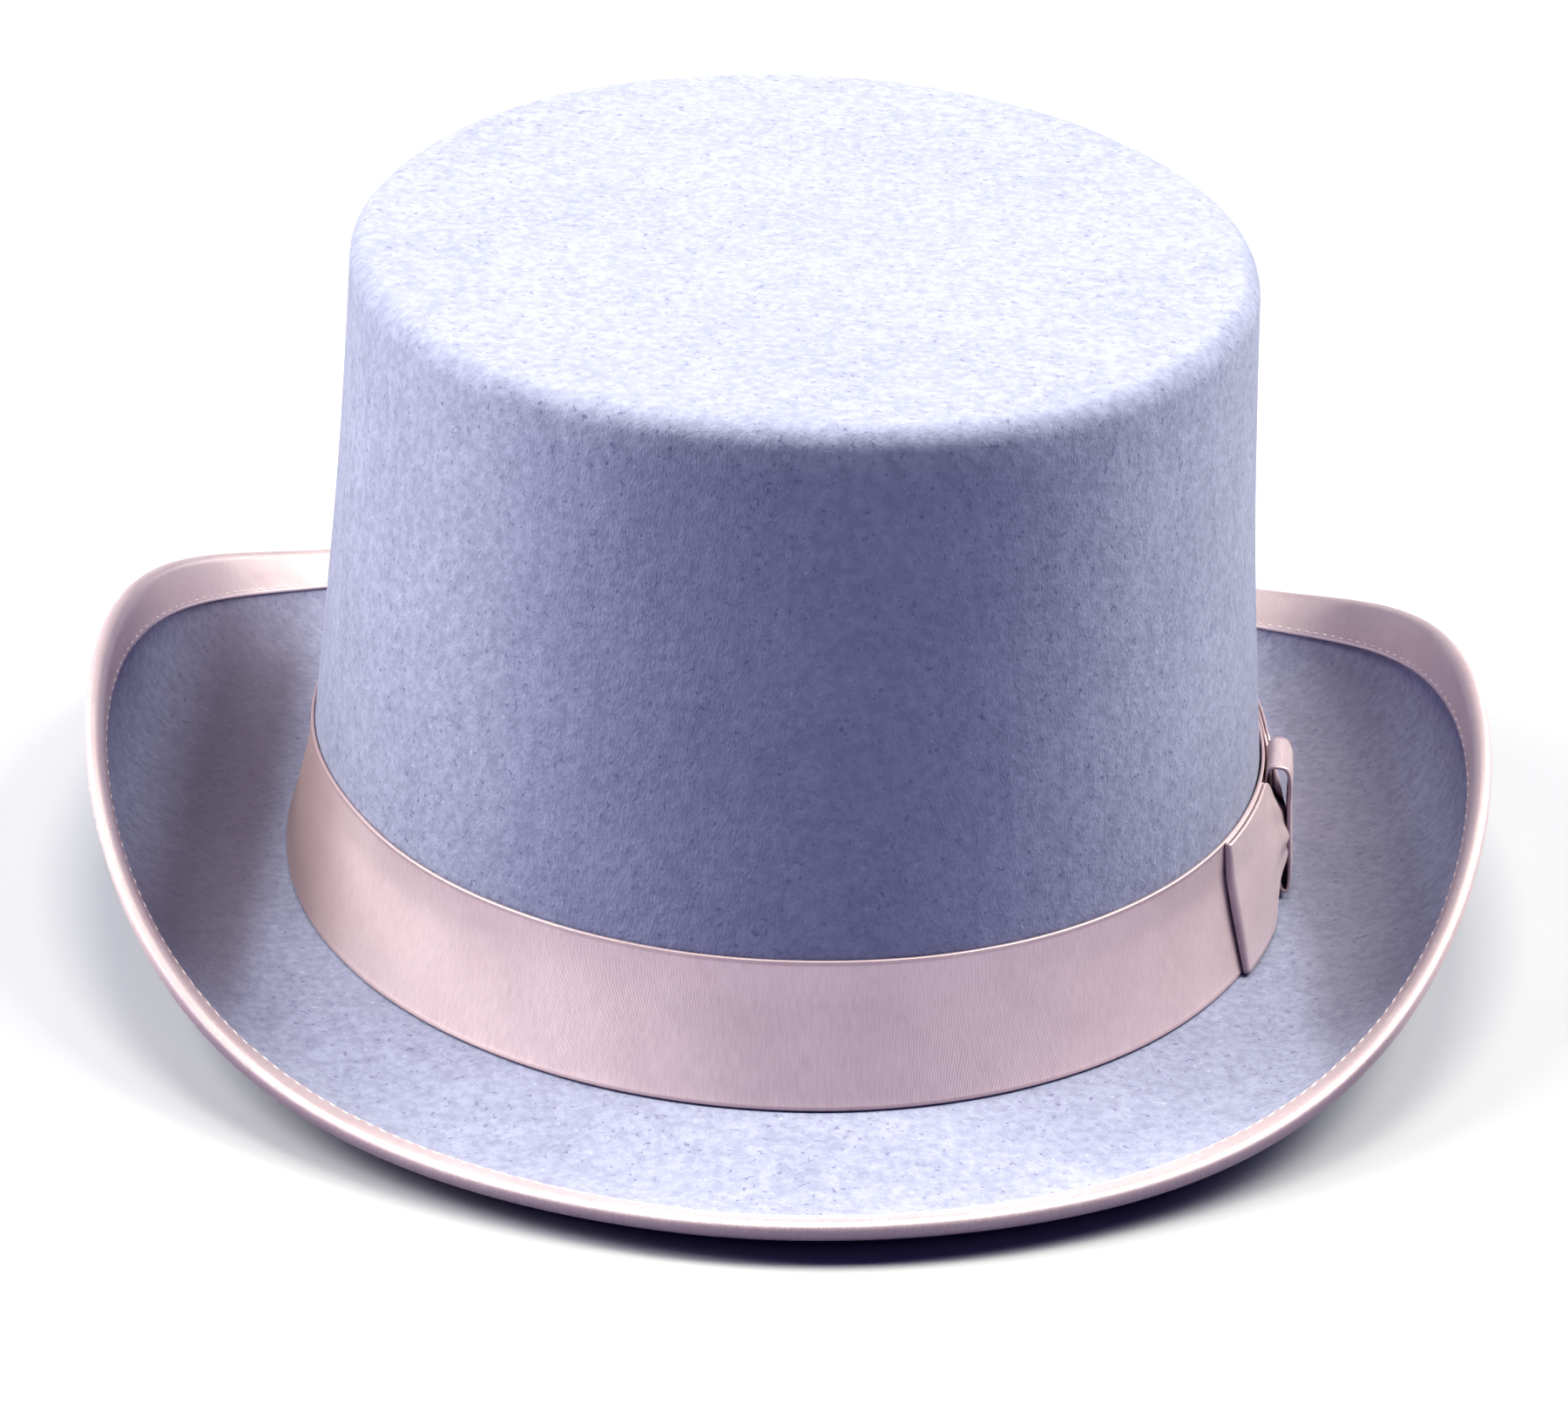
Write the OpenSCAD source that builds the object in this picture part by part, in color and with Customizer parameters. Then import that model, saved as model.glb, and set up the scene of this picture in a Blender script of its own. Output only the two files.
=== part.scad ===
// Top hat in blocked wool felt: low flat-topped crown and a brim that curls up at both sides.
// A ribbon binding is folded over a wired brim edge, a ribbon band with a flat bow circles the crown,
// and a leather sweatband and a satin lining stand inside. Millimetres, +Z up, the front is -Y and
// the wearer's left, with the bow, is +X. Z = 0 is the surface that the hat stands on.

/* [Crown] */
// Outer width of the crown where it meets the brim
crown_w = 171; // [160:0.5:182]
// Outer length of the crown where it meets the brim
crown_l = 202; // [190:0.5:214]
// Outer width of the crown at the tip
tip_w = 155; // [148:0.5:162]
// Outer length of the crown at the tip
tip_l = 186; // [178:0.5:192]
// Height of the tip above the top face of the brim at the crown
crown_h = 113; // [100:0.5:150]
// How far the crown side draws in halfway up
waist = 0.8; // [0:0.1:2]
// Rounding where the crown side meets the tip
tip_round = 4; // [3:0.5:8]
// Thickness of the felt
felt_t = 2.2; // [1.8:0.1:2.6]

/* [Brim] */
// Overall width of the brim, side to side
brim_w = 246; // [238:0.5:260]
// Overall length of the brim, front to back
brim_l = 292; // [284:0.5:306]
// Height of the brim edge at the front and back, above the brim face at the crown
edge_z = 0.8; // [-2:0.1:3]
// How much higher the brim edge is at the sides
curl_rise = 31.6; // [22:0.2:38]
// How closely the curl keeps to the sides
curl_power = 4.9; // [3.5:0.1:6]
// Slope of the brim edge at the front and back, in degrees
edge_tilt = 24; // [15:1:32]
// Slope of the brim edge at the sides, in degrees
curl_tilt = 90; // [75:1:96]

/* [Ribbon] */
// Height of the hatband's top edge above the brim
band_h = 24.2; // [18:0.1:34]
// Width of the binding that shows on each face of the brim
binding_w = 9; // [7:0.5:11]
// Thickness of the ribbon
ribbon_t = 0.5; // [0.4:0.05:0.7]
// Diameter of the wire inside the binding
wire_d = 1.4; // [1:0.1:1.8]

/* [Bow] */
// Direction of the knot, round from the front of the hat towards the wearer's left
bow_at = 84; // [80:1:110]
// Length of each loop from the middle of the knot
loop_l = 36; // [26:0.5:42]
// How far the gathers round a loop out at the knot
gather_rise = 1.6; // [0.8:0.1:1.6]
// Width of the knot
knot_w = 12; // [9:0.5:14]

/* [Inside] */
// Height of the sweatband
sweat_h = 36; // [28:1:42]
// Thickness of the sweatband leather
sweat_t = 0.9; // [0.7:0.1:1.2]
// Diameter of the reed along the sweatband's lower edge
reed_d = 1.8; // [1.4:0.1:1.9]
// Thickness of the lining
lining_t = 0.4; // [0.3:0.05:0.5]

/* [Hidden] */
// Segments round the hat
seg = 72;
// Gap between pieces that lie against each other
gap = 0.06;
// Rounding between the crown side and the brim's top face
foot_r = 6;
half_felt = felt_t / 2;
// The end of the brim that is straight under the binding
bound = binding_w + 1;
// Half the thickness of the bound edge
edge_r = half_felt + gap + ribbon_t;
// Where the felt stops, back from the outermost point of the edge
felt_end = ribbon_t + wire_d + 2 * gap;

// ---- shapes shared by the pieces ----

// Share of the crown's height, and how far its side has drawn in there
function crown_t(h) = max(0, h) / crown_h;
function drawn_in(h) = 4 * waist * crown_t(h) * (1 - crown_t(h));
// Half-width and half-length of the crown's outer face at a height above the brim
function crown_a(h) = crown_w / 2 + (tip_w - crown_w) / 2 * crown_t(h) - drawn_in(h);
function crown_b(h) = crown_l / 2 + (tip_l - crown_l) / 2 * crown_t(h) - drawn_in(h);

// The crown's front grows flatter than an oval towards the tip
front_flat = 0.045;
function flatter(ang, h) = 1 - front_flat * crown_t(h) * pow(max(0, cos(ang)), 8);

// A point at an angle round the crown, at a height above the brim and an offset off the outer face
function on_crown(ang, h, off) = [
    (crown_a(h) + off) * sin(ang),
    -(crown_b(h) + off) * cos(ang) * flatter(ang, h),
    brim_z + h
];

// How strongly the brim curls at an angle: 0 at the front and back, 1 at the sides
function curl(ang) = pow(abs(sin(ang)), curl_power);

// The brim's edge in plan. It departs from an ellipse: a little wider at the corners, and longer
// next to the sides, which makes the sides straighter.
corner_wide = 0.05;
front_short = 0.02;
side_long = 0.22;
function edge_x(ang) = (brim_w / 2 - edge_r) * sin(ang) * (1 + corner_wide * pow(sin(ang) * cos(ang), 2));
function edge_y(ang) =
    -brim_l / 2 * cos(ang) * (1 - front_short * pow(sin(ang), 2) + side_long * pow(sin(ang), 4));
function edge_xy(ang) = [edge_x(ang), edge_y(ang)];
function foot_xy(ang) = [crown_w / 2 * sin(ang), -crown_l / 2 * cos(ang)];
// Plan length of the brim at an angle, and its outward direction
function reach(ang) = norm(edge_xy(ang) - foot_xy(ang));
function outward(ang) = (edge_xy(ang) - foot_xy(ang)) / reach(ang);

// The middle of the felt in the brim, cut upright along the outward direction. A point of the cut is
// [distance out, height above the brim face], and slopes are in degrees.
front_slope = -4;
side_slope = 5;
function start_slope(ang) = front_slope + (side_slope - front_slope) * curl(ang);
function end_slope(ang) = edge_tilt + (curl_tilt - edge_tilt) * curl(ang);
function edge_point(ang) = [reach(ang), edge_z + curl_rise * curl(ang)];
function way(slope) = [cos(slope), sin(slope)];
foot_middle = [foot_r, foot_r];
function bend_start(ang) =
    foot_middle + (foot_r + half_felt) * [sin(start_slope(ang)), -cos(start_slope(ang))];
function bend_end(ang) = edge_point(ang) - bound * way(end_slope(ang));
// How long the curve keeps its slope at the crown and at the edge, as shares of its chord
front_keeps = [0.4, 0.25];
side_keeps = [0.5, 0.45];
function keeps(ang) =
    (front_keeps + (side_keeps - front_keeps) * curl(ang)) * norm(bend_end(ang) - bend_start(ang));
function bezier(p, t) =
    pow(1 - t, 3) * p[0] + 3 * t * pow(1 - t, 2) * p[1] + 3 * t * t * (1 - t) * p[2] + pow(t, 3) * p[3];
function bezier_way(p, t) =
    pow(1 - t, 2) * (p[1] - p[0]) + 2 * t * (1 - t) * (p[2] - p[1]) + t * t * (p[3] - p[2]);
function bend(ang) = [
    bend_start(ang),
    bend_start(ang) + keeps(ang)[0] * way(start_slope(ang)),
    bend_end(ang) - keeps(ang)[1] * way(end_slope(ang)),
    bend_end(ang)
];

// A point of the plane at an angle, moved off the middle of the felt along the normal of its slope
function lift(ang, p, slope_way, off) =
    place(ang, p + off * [-slope_way[1], slope_way[0]] / norm(slope_way));
function place(ang, p) = [
    foot_xy(ang)[0] + p[0] * outward(ang)[0],
    foot_xy(ang)[1] + p[0] * outward(ang)[1],
    brim_z + p[1]
];
// Height of the brim's top face at the crown, so that the dips at front and back touch Z = 0
function underside(t) =
    let (slope_way = bezier_way(bend(0), t))
    bezier(bend(0), t)[1] - half_felt * slope_way[0] / norm(slope_way);
brim_z = -min([for (k = [0 : 8]) underside(k / 8)]);
function bend_point(ang, t, off) = lift(ang, bezier(bend(ang), t), bezier_way(bend(ang), t), off);
// A point back from the outermost point of the edge
function edge_at(ang, back, off) =
    lift(ang, edge_point(ang) - back * way(end_slope(ang)), way(end_slope(ang)), off);
// The rounded corner between crown and brim, from 0 on the crown to 1 on the brim
function foot_point(ang, k, off) =
    let (turn = k * (90 + start_slope(ang)))
    place(ang, foot_middle - (foot_r + half_felt - off) * [cos(turn), sin(turn)]);

function angles() = [for (i = [0 : seg - 1]) 360 * i / seg];

// Triangles between rings of n points each. A closed set also joins the last ring to the first.
// The other diagonal lets a piece match the facets of one whose rings run the other way.
function ring_faces(n, m, closed, other_diagonal = false) = [
    for (j = [0 : (closed ? m - 1 : m - 2)])
        for (i = [0 : n - 1])
            let (a = j * n + i, b = j * n + (i + 1) % n)
            let (c = ((j + 1) % m) * n + i, d = ((j + 1) % m) * n + (i + 1) % n)
            each other_diagonal ? [[a, b, c], [b, d, c]] : [[a, b, d], [a, d, c]]
];

// A solid of rings that is closed at both ends by a flat face
module capped_rings(rings) {
    n = len(rings[0]);
    m = len(rings);
    first = [for (i = [n - 1 : -1 : 0]) i];
    last = [for (i = [0 : n - 1]) (m - 1) * n + i];
    polyhedron([for (r = rings) each r], concat(ring_faces(n, m, false), [first, last]));
}

// A solid whose section is a closed loop that goes once round the hat
module round_loop(rings, other_diagonal = false) {
    polyhedron([for (r = rings) each r], ring_faces(len(rings[0]), len(rings), true, other_diagonal));
}
module reversed_loop(rings) round_loop([for (r = rings) [for (i = [len(r) - 1 : -1 : 0]) r[i]]]);

// A strip with a front grid and a back grid of points, closed along its four sides
module strip(front, back) {
    rings = concat(front, [for (i = [len(back) - 1 : -1 : 0]) back[i]]);
    n = len(front[0]);
    m = len(rings);
    sides = [for (j = [0 : m - 1], i = [0 : n - 2])
        let (a = j * n + i, b = ((j + 1) % m) * n + i)
        each [[a, a + 1, b + 1], [a, b + 1, b]]];
    low = [for (j = [0 : m / 2 - 2])
        let (a = j * n, b = (m - 1 - j) * n)
        each [[a, a + n, b - n], [a, b - n, b]]];
    high = [for (j = [0 : m / 2 - 2])
        let (a = j * n + n - 1, b = (m - j) * n - 1)
        each [[a, b - n, a + n], [a, b, b - n]]];
    polyhedron([for (r = rings) each r], concat(sides, low, high));
}

// ---- felt ----

// Heights of the rings up the crown side, above the brim
crown_rows = [for (k = [0 : 5]) foot_r + (crown_h - tip_round - foot_r) * k / 5];

function crown_ring(h, off) = [for (a = angles()) on_crown(a, h, off)];
function shoulder_ring(deg, off) = [
    for (a = angles())
        on_crown(a, crown_h - tip_round, -tip_round)
            + (tip_round + off) * [sin(a) * cos(deg), -cos(a) * cos(deg), sin(deg)]
];

module felt_body() {
    bend_rows = [1 : 8];
    over = concat(
        [for (deg = [90 : -22.5 : 0]) shoulder_ring(deg, 0)],
        [for (k = [4 : -1 : 0]) crown_ring(crown_rows[k], 0)],
        [for (k = [1 : 3]) [for (a = angles()) foot_point(a, k / 3, half_felt)]],
        [for (k = bend_rows) [for (a = angles()) bend_point(a, k / 8, half_felt)]],
        [for (back = [binding_w, felt_end]) [for (a = angles()) edge_at(a, back, half_felt)]]
    );
    under = concat(
        [for (back = [felt_end, binding_w]) [for (a = angles()) edge_at(a, back, -half_felt)]],
        [for (k = [8 : -1 : 1]) [for (a = angles()) bend_point(a, k / 8, -half_felt)]],
        [for (k = [3 : -1 : 1]) [for (a = angles()) foot_point(a, k / 3, -half_felt)]],
        [for (k = [0 : 4]) crown_ring(crown_rows[k], -felt_t)],
        [for (deg = [0 : 22.5 : 90]) shoulder_ring(deg, -felt_t)]
    );
    color("lightsteelblue") capped_rings(concat(over, under));
}

// ---- brim edge ----

module brim_wire() {
    middle = ribbon_t + gap + wire_d / 2;
    color("gray")
        round_loop([for (k = [0 : 7]) [for (a = angles())
            edge_at(a, middle + wire_d / 2 * cos(45 * k), wire_d / 2 * sin(45 * k))]]);
}

// A ribbon folded over the edge: out along the top face, round the wire and back underneath
module brim_binding() {
    outer = concat(
        [[binding_w, edge_r]],
        [for (deg = [90 : -30 : -90]) edge_r * [1 - cos(deg), sin(deg)]],
        [[binding_w, -edge_r]]
    );
    lay = edge_r - ribbon_t;
    inner = concat(
        [[binding_w, -lay], [felt_end, -lay]],
        [for (deg = [-90 : 30 : 90]) [edge_r - lay * cos(deg), lay * sin(deg)]],
        [[felt_end, lay], [binding_w, lay]]
    );
    color("rosybrown")
        round_loop([for (p = concat(outer, inner)) [for (a = angles()) edge_at(a, p[0], p[1])]], true);
}

// ---- hatband and bow ----

// The band leans on the rounding at the foot of the crown, so its lower edge flares
band_low = 0.6;
flare_out = 4.45;
flare_h = 9;
function flare(h) = flare_out * pow(max(0, 1 - h / flare_h), 2);
// Heights of the band's rings, closer together where it flares
band_rows = [band_low, 2.4, 4.4, 6.6, flare_h, band_h];

module hatband() {
    outer = [for (h = band_rows) crown_ring(h, flare(h) + gap + ribbon_t)];
    inner = [for (k = [len(band_rows) - 1 : -1 : 0])
        crown_ring(band_rows[k], flare(band_rows[k]) + gap)];
    color("rosybrown") reversed_loop(concat(outer, inner));
}

// Degrees round the crown for each millimetre of ribbon, and the middle height of the bow
turn_per_mm = 360 / (PI * (crown_w + crown_l) / 2);
bow_h = band_h / 2 + 0.3;
// Gap between the bow and the band under it
bow_gap = 0.2;

// A point of the bow: length from the knot, height from its middle and distance off the band
function on_bow(len_out, up, off) =
    on_crown(bow_at + len_out * turn_per_mm, bow_h + up, flare(bow_h + up) + gap + ribbon_t + bow_gap + off);

// Half the height of a loop: gathered at the knot, and the ribbon's own from a way out of it. The
// gathers run out sooner above (v over 0) than below.
ribbon_half = band_h / 2 - 0.5;
loop_start = 1.5;
pinch = 5;
gathers_above = 10;
gathers_below = 18;
function ease(t) = t * t * (3 - 2 * t);
function loop_half(len_out, v) =
    let (t = (len_out - loop_start) / (v > 0 ? gathers_above : gathers_below))
    pinch + (ribbon_half - pinch) * ease(min(1, max(0, t)));

// Distances of a loop's two layers off the band. Both are lifted over the back of the knot. The outer
// one is rounded out across its height, most at the knot. The larger the press, the flatter the loop.
under_least = 0.3;
outer_least = 0.9;
knot_lift = 1.1;
lift_end = 6;
fold_open = 0.25;
fold_round = 0.6;
gather_power = 1.9;
function past_knot(len_out) = (len_out - (knot_w / 2 - 1)) / lift_end;
function lifted(len_out) = knot_lift * (1 - ease(min(1, max(0, past_knot(len_out)))));
function under_layer(len_out) = under_least + lifted(len_out);
function outer_layer(len_out, v, press) =
    let (t = len_out / loop_l)
    let (rounded = fold_round / press + gather_rise * pow(1 - t, gather_power * press))
    outer_least + lifted(len_out) + fold_open * t + rounded * (1 - v * v);

// The middle of the ribbon out along the band, round the fold and back, as [length, distance off]
along = 8;
function loop_line(v, press) =
    let (fold_r = (outer_layer(loop_l, v, press) - under_least) / 2)
    let (fold_at = loop_l - fold_r)
    let (lengths = [for (k = [0 : along]) loop_start + (fold_at - loop_start) * k / along])
    concat(
        [for (len_out = lengths) [len_out, under_layer(len_out)]],
        [for (deg = [-60 : 30 : 60]) [fold_at, under_least + fold_r] + fold_r * [cos(deg), sin(deg)]],
        [for (k = [along : -1 : 0]) [lengths[k], outer_layer(lengths[k], v, press)]]
    );

// A point of one face of a loop, off the ribbon's middle
function loop_point(side, line, k, v, off) =
    let (line_way = line[min(k + 1, len(line) - 1)] - line[max(k - 1, 0)])
    let (p = line[k] + off * [-line_way[1], line_way[0]] / norm(line_way))
    on_bow(side * p[0], v * loop_half(line[k][0], v), p[1]);

module bow_loop(side, press) {
    across = [-1, -0.7, -0.35, 0, 0.35, 0.7, 1];
    lines = [for (v = across) loop_line(v, press)];
    face = function (off) [for (k = [0 : len(lines[0]) - 1])
        [for (i = [0 : len(across) - 1]) loop_point(side, lines[i], k, across[i], off)]];
    half_t = side * ribbon_t / 2;
    strip(face(half_t), face(-half_t));
}

module bow_front_loop() color("rosybrown") bow_loop(-1, 1);
module bow_rear_loop() color("rosybrown") bow_loop(1, 2.4);

// A short ribbon wrapped once round the middle of the bow, standing clear of the gathers above and below
knot_half = band_h / 2 - 0.3;
knot_out = 2.6;
knot_back = 0.1;
knot_up = 0.9;
squareness = 0.5;
function squared(x) = sign(x) * pow(abs(x), squareness);

module bow_knot() {
    wrap = [for (k = [0 : 15]) [-squared(sin(22.5 * k)), squared(cos(22.5 * k))]];
    ring = function (len_out, grow) [for (p = wrap)
        let (up = knot_up + p[0] * (knot_half + grow))
        on_bow(len_out, up, knot_out - p[1] * (knot_out - knot_back + grow))];
    across = [-1, -0.6, 0, 0.6, 1];
    color("rosybrown")
        round_loop(concat(
            [for (s = across) ring(s * knot_w / 2, 0)],
            [for (s = across) ring(-s * knot_w / 2, -ribbon_t)]));
}

// ---- inside ----

// How far the lining and the sweatband stand in from the felt's outer face
lining_off = -felt_t - 2 * gap;
sweat_off = lining_off - lining_t - gap;

// The sweatband's lower edge hangs a little below the brim's face
sweat_low = -1.4;

module sweatband() {
    rows = [sweat_low, 4, 12, 20, 28, sweat_low + sweat_h];
    outer = [for (h = rows) crown_ring(h, sweat_off)];
    inner = [for (k = [len(rows) - 1 : -1 : 0]) crown_ring(rows[k], sweat_off - sweat_t)];
    color("saddlebrown") reversed_loop(concat(outer, inner));
}

// Drop of the reed's middle below the brim's face
reed_drop = 1.2;

module sweatband_reed() {
    middle = sweat_off + gap + reed_d / 2;
    color("tan")
        round_loop([for (k = [0 : 7]) [for (a = angles())
            on_crown(a, 0, middle + reed_d / 2 * cos(45 * k))
                - [0, 0, reed_drop + reed_d / 2 * sin(45 * k)]]]);
}

// A narrow flat bow over the sweatband's seam at the back: two leaves and a knot, each a thin block
tie_h = 7;
leaf_t = 1.2;
leaf_start = 1;
leaf_step = 2.6;
leaf_half = 1.6;
leaf_spread = 0.55;
tie_knot_half = [2, 2.4];
tie_knot_t = 0.54;

module sweatband_bow() {
    // A point: length along the band from the seam, height from the bow's middle, distance off the leather
    tie = function (u, up, off) on_crown(180 + u * turn_per_mm, tie_h + up, sweat_off - sweat_t - gap - off);
    leaf = function (side, off) [for (k = [0 : 4])
        let (u = side * (leaf_start + leaf_step * k), half_h = leaf_half + leaf_spread * k)
        [for (v = [-1, 0, 1]) tie(u, v * half_h, off)]];
    knot = function (off) [for (u = [-1, 1])
        [for (v = [-1, 1]) tie(u * tie_knot_half[0], v * tie_knot_half[1], off)]];
    near = 0.1;
    knot_near = near + leaf_t + gap;
    color("dimgray") {
        strip(leaf(1, near), leaf(1, near + leaf_t));
        strip(leaf(-1, near + leaf_t), leaf(-1, near));
        strip(knot(knot_near), knot(knot_near + tie_knot_t));
    }
}

// The lining's side starts behind the sweatband, and its top is turned in to meet the tip disc
lining_low = 8;
lining_drop = 3;
lining_top = crown_h - felt_t - lining_drop;

module lining_side() {
    rows = [lining_low, 30, 55, 80, lining_top];
    outer = [for (h = rows) crown_ring(h, lining_off)];
    inner = [for (k = [len(rows) - 1 : -1 : 0]) crown_ring(rows[k], lining_off - lining_t)];
    color("lavender") reversed_loop(concat(outer, inner));
}

// The piping stands in from the lining's outer face and above its top edge
piping_r = 0.8;
piping_in = 1.1;
piping_up = 1.1;
disc_gap = 0.2;
function piping_ring(deg) = [for (a = angles())
    on_crown(a, lining_top, lining_off - piping_in + piping_r * cos(deg))
        + [0, 0, piping_up - piping_r * sin(deg)]];

module lining_piping() {
    color("thistle") round_loop([for (k = [0 : 7]) piping_ring(45 * k)]);
}

module lining_tip() {
    disc_off = lining_off - piping_in - piping_r - disc_gap;
    disc = function (up) [for (a = angles()) on_crown(a, lining_top, disc_off) + [0, 0, up]];
    color("lavender") capped_rings([disc(piping_up + lining_t), disc(piping_up)]);
}

felt_body();
brim_wire();
brim_binding();
hatband();
bow_front_loop();
bow_rear_loop();
bow_knot();
sweatband();
sweatband_reed();
sweatband_bow();
lining_side();
lining_tip();
lining_piping();
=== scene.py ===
import math

import bmesh
import bpy
from mathutils import Matrix, Vector, noise


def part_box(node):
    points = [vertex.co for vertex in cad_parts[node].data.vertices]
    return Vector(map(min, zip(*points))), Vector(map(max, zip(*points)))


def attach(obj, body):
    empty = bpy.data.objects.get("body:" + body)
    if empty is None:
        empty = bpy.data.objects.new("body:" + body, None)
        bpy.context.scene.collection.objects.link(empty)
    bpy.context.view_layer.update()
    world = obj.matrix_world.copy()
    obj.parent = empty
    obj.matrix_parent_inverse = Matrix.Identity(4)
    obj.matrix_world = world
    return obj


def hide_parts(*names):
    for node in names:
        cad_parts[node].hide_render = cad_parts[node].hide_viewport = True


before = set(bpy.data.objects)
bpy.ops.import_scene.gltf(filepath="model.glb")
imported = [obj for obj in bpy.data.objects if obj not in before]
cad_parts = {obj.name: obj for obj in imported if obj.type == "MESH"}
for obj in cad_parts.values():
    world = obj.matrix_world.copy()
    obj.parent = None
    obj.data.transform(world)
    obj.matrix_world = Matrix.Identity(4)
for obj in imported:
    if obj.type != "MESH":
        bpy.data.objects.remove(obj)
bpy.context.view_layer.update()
mm = 0.001


# ---- Felt body ----
# A wool-felt hood steamed and blocked over a wooden form, so tip, crown side and brim are one
# piece. The brim is curled up at the sides with a hot iron and its edge is left a little proud.

tip_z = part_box("felt_body")[1].z
foot_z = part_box("hatband")[0].z - 0.6 * mm
crown_high = tip_z - foot_z
crown_half = Vector((85.5, 101)) * mm
tip_half = Vector((77.5, 93)) * mm
waist = 3.2 * mm
tip_round = 4 * mm
foot_round = 6 * mm
felt_thick = 2.2 * mm
half_felt = felt_thick / 2
ribbon_thick = 0.5 * mm
gap = 0.06 * mm
edge_round = half_felt + gap + ribbon_thick
edge_half = Vector((123 * mm - edge_round, 146 * mm))
edge_high = 0.8 * mm
curl_rise = 31.6 * mm
binding_wide = 9 * mm
straight_end = binding_wide + 1 * mm
wire_thick = 1.4 * mm
felt_stops = ribbon_thick + wire_thick + 2 * gap
crown_lean = 0.8 * mm
front_flat = 0.045
corner_wide, front_short, side_long = 0.05, 0.02, 0.22
front_slope, side_slope = -4, 5
front_tilt, side_tilt = 25, 90


def crown_size(high):
    """The crown's half-width and half-length at a height above the brim."""
    part = min(1, max(0, high / crown_high))
    return crown_half.lerp(tip_half, part) - Vector((1, 1)) * waist * part * (1 - part)


def on_crown(turn, high, off):
    """A point at an angle round the crown, a height above the brim and an offset off the felt. The
    crown leans a hair to one side, as it came off the form, and its front is flatter at the tip."""
    size = crown_size(high) + Vector((off, off))
    part = max(0, high) / crown_high
    lean = -crown_lean * part
    flatter = 1 - front_flat * part * max(0, math.cos(turn)) ** 8
    return Vector((size.x * math.sin(turn) + lean, -size.y * math.cos(turn) * flatter, foot_z + high))


def curl(turn):
    return abs(math.sin(turn)) ** 4.9


def way(slope):
    return Vector((math.cos(slope), math.sin(slope)))


def uneven(turn, seed, size):
    """A slow wander round the hat that meets itself, as hand work has."""
    return size * noise.noise(Vector((1.7 * math.sin(turn), 1.7 * math.cos(turn), seed)))


class BrimCut:
    """The brim cut upright at one angle: distance out from the crown's foot, and height. Its slopes
    and the rounding at the crown's foot change from the front to the sides, as the curl grows."""

    def __init__(self, turn):
        side, front = math.sin(turn), math.cos(turn)
        self.foot = Vector((crown_half.x * side, -crown_half.y * front))
        self.round = foot_round - 2 * mm * curl(turn)
        edge = Vector((
            edge_half.x * side * (1 + corner_wide * (side * front) ** 2),
            -edge_half.y * front * (1 - front_short * side ** 2 + side_long * side ** 4),
        ))
        self.outward = (edge - self.foot).normalized()
        high = edge_high + curl_rise * curl(turn) + uneven(turn, 3.1, 0.5 * mm)
        self.tip = Vector(((edge - self.foot).length, high))
        self.start_slope = math.radians(front_slope + (side_slope - front_slope) * curl(turn))
        self.end_slope = math.radians(front_tilt + (side_tilt - front_tilt) * curl(turn))
        middle = Vector((self.round, self.round))
        down = Vector((math.sin(self.start_slope), -math.cos(self.start_slope)))
        start = middle + (self.round + half_felt) * down
        end = self.tip - straight_end * way(self.end_slope)
        chord = (end - start).length
        self.handles = [
            start,
            start + (0.4 + 0.1 * curl(turn)) * chord * way(self.start_slope),
            end - (0.25 + 0.2 * curl(turn)) * chord * way(self.end_slope),
            end,
        ]

    def place(self, point, slope_way, off):
        point = point + off * Vector((-slope_way.y, slope_way.x)).normalized()
        plan = self.foot + point.x * self.outward
        return Vector((plan.x, plan.y, foot_z + point.y))

    def bend(self, part, off):
        a, b, c, d = self.handles
        rest = 1 - part
        point = rest ** 3 * a + 3 * rest ** 2 * part * b + 3 * rest * part ** 2 * c + part ** 3 * d
        heading = rest ** 2 * (b - a) + 2 * rest * part * (c - b) + part ** 2 * (d - c)
        return self.place(point, heading, off)

    def edge(self, back, off):
        heading = way(self.end_slope)
        return self.place(self.tip - back * heading, heading, off)

    def foot_corner(self, part, off):
        angle = part * (math.pi / 2 + self.start_slope)
        reach = self.round + half_felt - off
        point = Vector((self.round, self.round)) - reach * Vector((math.cos(angle), math.sin(angle)))
        return self.place(point, Vector((1, 0)), 0)


def shoulder(turn, rise, off):
    """The rounded rim between the crown's side and its tip."""
    out = Vector((math.sin(turn) * math.cos(rise), -math.cos(turn) * math.cos(rise), math.sin(rise)))
    return on_crown(turn, crown_high - tip_round, -tip_round) + (tip_round + off) * out


def tip_point(turn, part, off):
    """The tip sags a little towards its middle."""
    rim = shoulder(turn, math.pi / 2, off)
    sag = 0.5 * mm * (1 - part ** 2)
    return Vector((rim.x * part, rim.y * part, rim.z - sag))


measured_at = 0.13


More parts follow.
